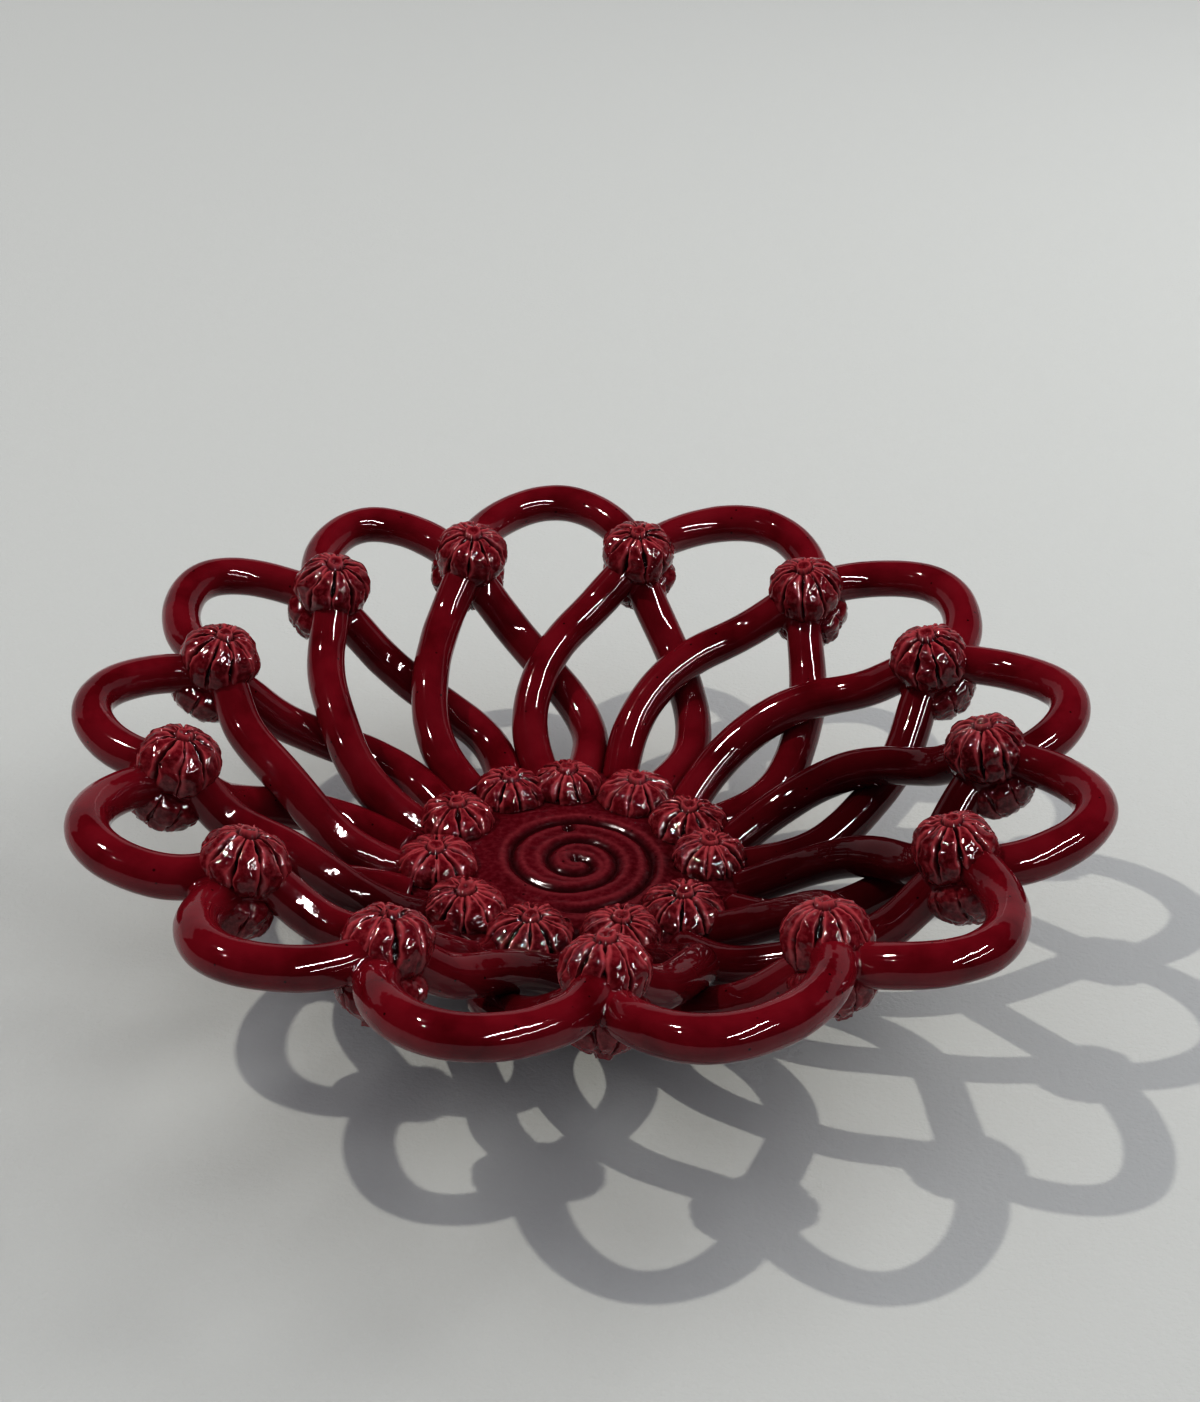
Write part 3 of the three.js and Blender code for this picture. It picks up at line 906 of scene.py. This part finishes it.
def fired_clay(name):
    """Bare earthenware where the foot is wiped clean of glaze: matt and a dull brick pink, with the
    fine grain of its grog."""
    material, tree, place = new_material(name)
    grog = add_node(
        tree,
        "ShaderNodeTexNoise",
        {},
        {"Vector": place, "Scale": pattern_scale(GROG_SIZE), "Detail": 6, "Roughness": 0.7},
    )
    grainy = add_node(
        tree,
        "ShaderNodeValToRGB",
        {},
        {"Fac": grog.outputs["Fac"]},
        [(0.3, linear("#7d4a38")), (0.7, linear("#b07a62"))],
    )
    rough = add_node(
        tree,
        "ShaderNodeBump",
        {},
        {"Height": grog.outputs["Fac"], "Strength": 0.5, "Distance": GROG_HEIGHT * MM},
    )
    return surfaced(
        material,
        tree,
        {
            "Base Color": grainy.outputs["Color"],
            "Roughness": 0.85,
            "Normal": rough.outputs["Normal"],
        },
    )


def painted_floor(name):
    """Matt emulsion on a studio floor: a pale grey, with the fine stipple of a roller."""
    material, tree, place = new_material(name)
    stipple = add_node(
        tree,
        "ShaderNodeTexNoise",
        {},
        {"Vector": place, "Scale": pattern_scale(STIPPLE_SIZE), "Detail": 4, "Roughness": 0.6},
    )
    stippled = add_node(
        tree,
        "ShaderNodeBump",
        {},
        {"Height": stipple.outputs["Fac"], "Strength": 0.7, "Distance": STIPPLE_HEIGHT * MM},
    )
    return surfaced(
        material,
        tree,
        {
            "Base Color": (*linear("#b6b8b5"), 1),
            "Roughness": 1.0,
            "Specular IOR Level": 0.0,
            "Normal": stippled.outputs["Normal"],
        },
    )


def finish_named(name, maker, details=None):
    """The material of that name, made the first time that it is asked for."""
    return bpy.data.materials.get(name) or maker(name, **(details or {}))


def coil_glaze():
    return finish_named("Glazed earthenware coil", glazed_earthenware, COIL_GLAZE)


def rosette_glaze():
    return finish_named("Glazed earthenware rosette", glazed_earthenware, ROSETTE_GLAZE)


# Operators


class BOWL_OT_stage(bpy.types.Operator):
    """Set up the camera, the pale floor and the studio lights"""

    bl_idname = "bowl.stage"
    bl_label = "Stage"

    def execute(self, context):
        scene = context.scene
        camera_data = bpy.data.cameras.new("Camera")
        camera_data.lens = CAMERA_LENS
        camera_data.sensor_width = CAMERA_SENSOR
        camera = bpy.data.objects.new("Camera", camera_data)
        yaw, pitch, roll = CAMERA_YAW, CAMERA_PITCH, CAMERA_ROLL
        ahead = Vector(
            (math.sin(yaw) * math.cos(pitch), math.cos(yaw) * math.cos(pitch), -math.sin(pitch))
        )
        right = Vector((math.cos(yaw), -math.sin(yaw), 0))
        up = right.cross(ahead)
        side = right * math.cos(roll) + up * math.sin(roll)
        top = up * math.cos(roll) - right * math.sin(roll)
        turn = Matrix((side, top, -ahead)).transposed()
        camera.matrix_world = Matrix.Translation(CAMERA_PLACE) @ turn.to_4x4()
        scene.collection.objects.link(camera)
        scene.camera = camera
        scene.view_settings.view_transform = "Standard"
        scene.view_settings.look = CONTRAST
        scene.view_settings.exposure = EXPOSURE

        floor_mesh = bpy.data.meshes.new("Studio Floor")
        bm = bmesh.new()
        drop = Matrix.Translation((0, 0, -STUDIO_FLOOR_DROP))
        bmesh.ops.create_grid(bm, x_segments=1, y_segments=1, size=STUDIO_FLOOR_HALF, matrix=drop)
        bm.to_mesh(floor_mesh)
        bm.free()
        floor_mesh.materials.append(finish_named("Painted studio floor", painted_floor))
        floor = bpy.data.objects.new("Studio Floor", floor_mesh)
        scene.collection.objects.link(floor)

        world = bpy.data.worlds.new("Studio")
        world.use_nodes = True
        tree = world.node_tree
        place = add_node(tree, "ShaderNodeTexCoord").outputs["Generated"]
        height = add_node(tree, "ShaderNodeSeparateXYZ", {}, {"Vector": place}).outputs["Z"]
        stops = [(0, LOW_FILL), (HIGH_FILL_PLACE, HIGH_FILL)]
        fill = add_node(tree, "ShaderNodeValToRGB", {}, {"Fac": height}, stops).outputs["Color"]
        tree.links.new(fill, tree.nodes["Background"].inputs["Color"])
        # The fill comes from far and wide, too dim to show as a reflection in the glaze
        world.cycles_visibility.glossy = False
        scene.world = world

        for name, start, end, width, power, colour, hidden_from in LAMPS:
            lamp = add_lamp(name, Vector(start), Vector(end), width, power)
            lamp.data.color = colour
            for rays in hidden_from:
                setattr(lamp, f"visible_{rays}", False)
        return {"FINISHED"}


def add_lamp(name, start, end, width, power):
    """An area lamp from start to end, which faces the bowl."""
    data = bpy.data.lights.new(name, "AREA")
    data.shape = "RECTANGLE"
    data.size = (end - start).length
    data.size_y = width
    data.energy = power
    lamp = bpy.data.objects.new(name, data)
    middle = (start + end) / 2
    along = (end - start).normalized()
    back = (middle - along * middle.dot(along)).normalized()
    turn = Matrix((along, back.cross(along), back)).transposed()
    lamp.matrix_world = Matrix.Translation(middle) @ turn.to_4x4()
    lamp.visible_camera = False
    bpy.context.scene.collection.objects.link(lamp)
    return lamp


class BOWL_OT_petal_coils(bpy.types.Operator):
    """Roll the coils and weave them into the rim's petals and the wall"""

    bl_idname = "bowl.petal_coils"
    bl_label = "Petal Coils"

    def execute(self, context):
        settings = context.scene.bowl_coils
        uneven = settings.waver / MM
        glaze = coil_glaze()
        for k in range(COILS):
            mesh = rolled_coil(coil_line(k), settings.diameter / MM, settings.sides)
            bm = bmesh.new()
            bm.from_mesh(mesh)
            bpy.data.meshes.remove(mesh)
            bmesh.ops.remove_doubles(bm, verts=bm.verts, dist=MERGE_DISTANCE)
            bmesh.ops.recalc_face_normals(bm, faces=bm.faces)
            waver(bm, k + 1, [(size, uneven * share) for size, share in COIL_WAVER])
            node = f"petal_coil_{k + 1:02d}"
            finish_piece(f"Petal_Coil_{k + 1:02d}", bm, glaze, node)
        return {"FINISHED"}


def leaning_pose(k, side, lean, base):
    """Where a rim rosette stands on its crossing, its crown along the leaning axis."""
    axis = polar(-side * math.sin(lean), crossing_angle(k), side * math.cos(lean))
    turn = Vector((0, 0, 1)).rotation_difference(axis).to_matrix().to_4x4()
    return Matrix.Translation(crossing_point(k) + axis * base) @ turn


class BOWL_OT_rim_rosettes(bpy.types.Operator):
    """Press a rosette on each crossing of the rim, above and below"""

    bl_idname = "bowl.rim_rosettes"
    bl_label = "Rim Rosettes"

    def execute(self, context):
        settings = context.scene.bowl_rosettes
        coil = context.scene.bowl_coils.diameter / MM
        base = (RIM_LAP + coil) / 2 - ROSETTE_SEAT
        glaze, plain = rosette_glaze(), coil_glaze()
        for k in range(COILS):
            height = settings.upper_rise / MM - base - BUTTON_RISE
            seed = k + 1
            bm = rosette(settings.upper_diameter / MM, height, UPPER_SKIRT, RIM_TUCK, seed)
            spin = Matrix.Rotation(RIM_ROSETTE_SPIN * seed, 4, "Z")
            pose = leaning_pose(k, 1, settings.upper_lean, base) @ spin
            node = f"rim_rosette_upper_{k + 1:02d}"
            name = f"Rim_Rosette_Upper_{k + 1:02d}"
            piece = finish_piece(name, bm, glaze, node, pose)
            piece.data.materials.append(plain)
        for k in range(COILS):
            height = settings.lower_rise / MM - base - BUTTON_RISE
            seed = k + 1 + LOWER_SEED
            diameter = settings.lower_diameter / MM
            bm = rosette(diameter, height, LOWER_SKIRT, RIM_TUCK, seed, LOWER_CRISPNESS)
            spin = Matrix.Rotation(RIM_ROSETTE_SPIN * seed, 4, "Z")
            pose = leaning_pose(k, -1, settings.lower_lean, base) @ spin
            add_to(bm, luting_slip(k, coil), pose)
            node = f"rim_rosette_lower_{k + 1:02d}"
            name = f"Rim_Rosette_Lower_{k + 1:02d}"
            piece = finish_piece(name, bm, glaze, node, pose)
            piece.data.materials.append(plain)
        return {"FINISHED"}


class BOWL_OT_floor_rosettes(bpy.types.Operator):
    """Ring the floor with rosettes"""

    bl_idname = "bowl.floor_rosettes"
    bl_label = "Floor Rosettes"

    def execute(self, context):
        settings = context.scene.bowl_rosettes
        glaze = rosette_glaze()
        count = len(FLOOR_ROSETTE_TURN)
        for i, (turn, diameter) in enumerate(zip(FLOOR_ROSETTE_TURN, FLOOR_ROSETTE_DIAMETER)):
            angle = math.radians(FLOOR_ROSETTE_START + turn) - 2 * math.pi * i / count
            height = settings.floor_rise / MM - BUTTON_RISE / 2
            bm = rosette(diameter, height, FLOOR_SKIRT, FLOOR_TUCK, FLOOR_ROSETTE_SEED + i)
            place = polar(FLOOR_ROSETTE_RING, angle, FLOOR_HEIGHT + CLEARANCE, FLOOR_SHIFT)
            pose = Matrix.Translation(place) @ Matrix.Rotation(FLOOR_ROSETTE_SPIN * i, 4, "Z")
            name = f"Floor_Rosette_{i + 1:02d}"
            node = f"floor_rosette_{i + 1:02d}"
            finish_piece(name, bm, glaze, node, pose)
        return {"FINISHED"}


class BOWL_OT_floor_disc(bpy.types.Operator):
    """Turn the floor and raise the spiral on it"""

    bl_idname = "bowl.floor_disc"
    bl_label = "Spiral Floor"

    def execute(self, context):
        settings = context.scene.bowl_floor
        radius = settings.radius / MM
        pitch = settings.spiral_pitch / MM
        rise = settings.spiral_rise / MM
        bm = bmesh.new()
        profile = [(radius * i / FLOOR_RINGS, 0) for i in range(FLOOR_RINGS + 1)]
        profile += [(radius, -FLOOR_EDGE), (radius, -FLOOR_THICKNESS + FLOOR_EDGE)]
        profile += [(radius - FLOOR_EDGE, -FLOOR_THICKNESS), (0, -FLOOR_THICKNESS)]
        thrown_ring(bm, profile, FLOOR_SEGMENTS)
        ridge = bm.verts.layers.float.new("ridge")
        cut = bm.verts.layers.float.new("cut")
        groove_line = spiral_groove(pitch)
        tree = KDTree(len(groove_line))
        for i, place in enumerate(groove_line):
            tree.insert(place, i)
        tree.balance()
        for vert in bm.verts:
            if vert.co.z < -FLOOR_EDGE / 2:
                continue
            place = vert.co.xy
            _, nearest, off = tree.find(vert.co)
            fade = 1 - smooth_step(SPIRAL_FADE_START, 1, nearest / len(groove_line))
            groove = bell(off, 0, GROOVE_WIDTH / 2) * fade
            crest = bell(off, CREST_REACH, CREST_WIDTH) * fade
            knob = bell((place - KNOB_PLACE).length, 0, KNOB_RADIUS)
            hole = bell((place - HOLE_PLACE).length, 0, HOLE_RADIUS)
            pit = math.exp(-(((place - PIT_PLACE).length / PIT_RADIUS) ** PIT_STEEPNESS))
            inside = 1 - smooth_step(MOUND_START, MOUND_END, place.length)
            mound = MOUND_SHARE * rise * inside
            vert.co.z += mound + rise * (CREST_SHARE * crest - groove) + KNOB_RISE * knob
            vert.co.z -= HOLE_DEPTH * hole + PIT_DEPTH * pit
            vert[ridge] = max(crest, knob)
            vert[cut] = max(groove * GROOVE_POOLING, hole, pit)
        waver(bm, FLOOR_SEED, FLOOR_WAVER)
        glaze = finish_named("Glazed earthenware floor", glazed_earthenware, FLOOR_GLAZE)
        pose = Matrix.Translation((FLOOR_SHIFT, 0, FLOOR_HEIGHT))
        finish_piece("Spiral_Floor", bm, glaze, "floor_disc", pose)
        return {"FINISHED"}


class BOWL_OT_foot_ring(bpy.types.Operator):
    """Turn the foot ring that the bowl stands on"""

    bl_idname = "bowl.foot_ring"
    bl_label = "Foot Ring"

    def execute(self, context):
        settings = context.scene.bowl_foot
        top = settings.radius / MM
        bottom = top - settings.taper / MM
        inner = top - settings.wall / MM
        height = FLOOR_HEIGHT - FLOOR_THICKNESS - CLEARANCE
        bm = bmesh.new()
        profile = [
            (inner + FOOT_EDGE, 0),
            (bottom - FOOT_EDGE, 0),
            (bottom, FOOT_EDGE),
            *[(between(bottom, top, part) - inset, height * part) for part, inset in FOOT_WAIST],
            (top, height),
            (inner, height),
            (inner - FOOT_SWELL, height / 2),
            (inner, FOOT_EDGE),
            (inner + FOOT_EDGE, 0),
        ]
        thrown_ring(bm, profile, FOOT_SEGMENTS)
        waver(bm, FOOT_SEED, FOOT_WAVER)
        for vert in bm.verts:
            vert.co.z = max(vert.co.z, 0)
        clay = finish_named("Bare fired earthenware", fired_clay)
        pose = Matrix.Translation((FLOOR_SHIFT, 0, 0))
        piece = finish_piece("Foot_Ring", bm, coil_glaze(), "foot_ring", pose)
        piece.data.materials.append(clay)
        # The underside and its rounded edges are wiped clean
        for face in piece.data.polygons:
            if face.center.z < WIPED_HEIGHT * MM:
                face.material_index = 1
        return {"FINISHED"}


class BOWL_PT_panel(bpy.types.Panel):
    """The bowl's sizes, glaze and pieces"""

    bl_idname = "BOWL_PT_panel"
    bl_label = "Openwork Bowl"
    bl_space_type = "VIEW_3D"
    bl_region_type = "UI"
    bl_category = "Bowl"

    def draw(self, context):
        layout = self.layout
        for group in SETTINGS:
            box = layout.box()
            settings = getattr(context.scene, group)
            for name in settings.__annotations__:
                box.prop(settings, name)
        column = layout.column(align=True)
        for operator in OPERATORS:
            column.operator(operator.bl_idname)


SETTINGS = {
    "bowl_coils": CoilSettings,
    "bowl_rosettes": RosetteSettings,
    "bowl_floor": FloorSettings,
    "bowl_foot": FootSettings,
    "bowl_glaze": GlazeSettings,
}
OPERATORS = (
    BOWL_OT_stage,
    BOWL_OT_petal_coils,
    BOWL_OT_rim_rosettes,
    BOWL_OT_floor_rosettes,
    BOWL_OT_floor_disc,
    BOWL_OT_foot_ring,
)


def register():
    for kind in (*SETTINGS.values(), *OPERATORS, BOWL_PT_panel):
        bpy.utils.register_class(kind)
    for name, kind in SETTINGS.items():
        setattr(bpy.types.Scene, name, PointerProperty(type=kind))


def unregister():
    for name in SETTINGS:
        delattr(bpy.types.Scene, name)
    for kind in reversed((*SETTINGS.values(), *OPERATORS, BOWL_PT_panel)):
        bpy.utils.unregister_class(kind)


def main():
    register()
    bpy.ops.bowl.stage()
    bpy.ops.bowl.petal_coils()
    bpy.ops.bowl.rim_rosettes()
    bpy.ops.bowl.floor_rosettes()
    bpy.ops.bowl.floor_disc()
    bpy.ops.bowl.foot_ring()


if __name__ == "__main__":
    main()
